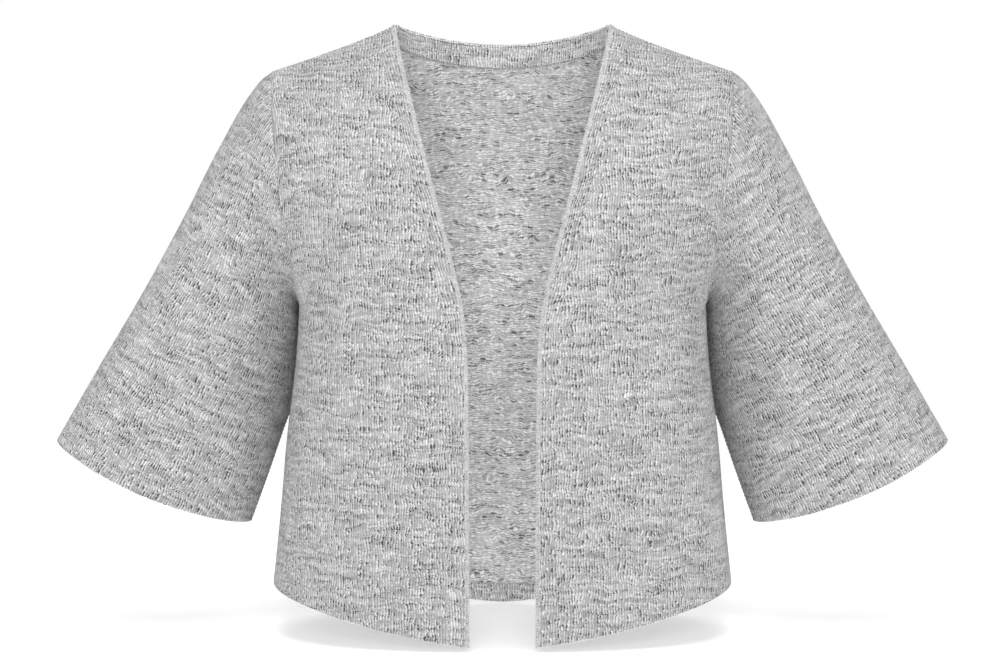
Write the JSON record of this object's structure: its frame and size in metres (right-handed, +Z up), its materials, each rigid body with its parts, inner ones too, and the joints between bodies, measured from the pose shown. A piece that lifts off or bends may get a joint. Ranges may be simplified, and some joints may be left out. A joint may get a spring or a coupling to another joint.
{
  "type": "knitted shrug, filled out as worn",
  "caption": "Cropped open-front knitted shrug with flared elbow-length sleeves, a deep V opening and turned hems, hollow and filled out as worn.",
  "frame": {"origin": "base of the wearer's neck, midway between the neck ends of the two shoulder seams and level with them", "axes": "+Z up, +X to the wearer's left, the open front faces -Y"},
  "size_m": [0.7698, 0.2226, 0.518],
  "materials": {
    "knit": "soft matt marl knit in light grey"
  },
  "bodies": {
    "root": {"back": "knit", "front_left": "knit", "front_right": "knit", "sleeve_left": "knit", "sleeve_right": "knit", "back_neck_facing": "knit"}
  },
  "joints": []
}
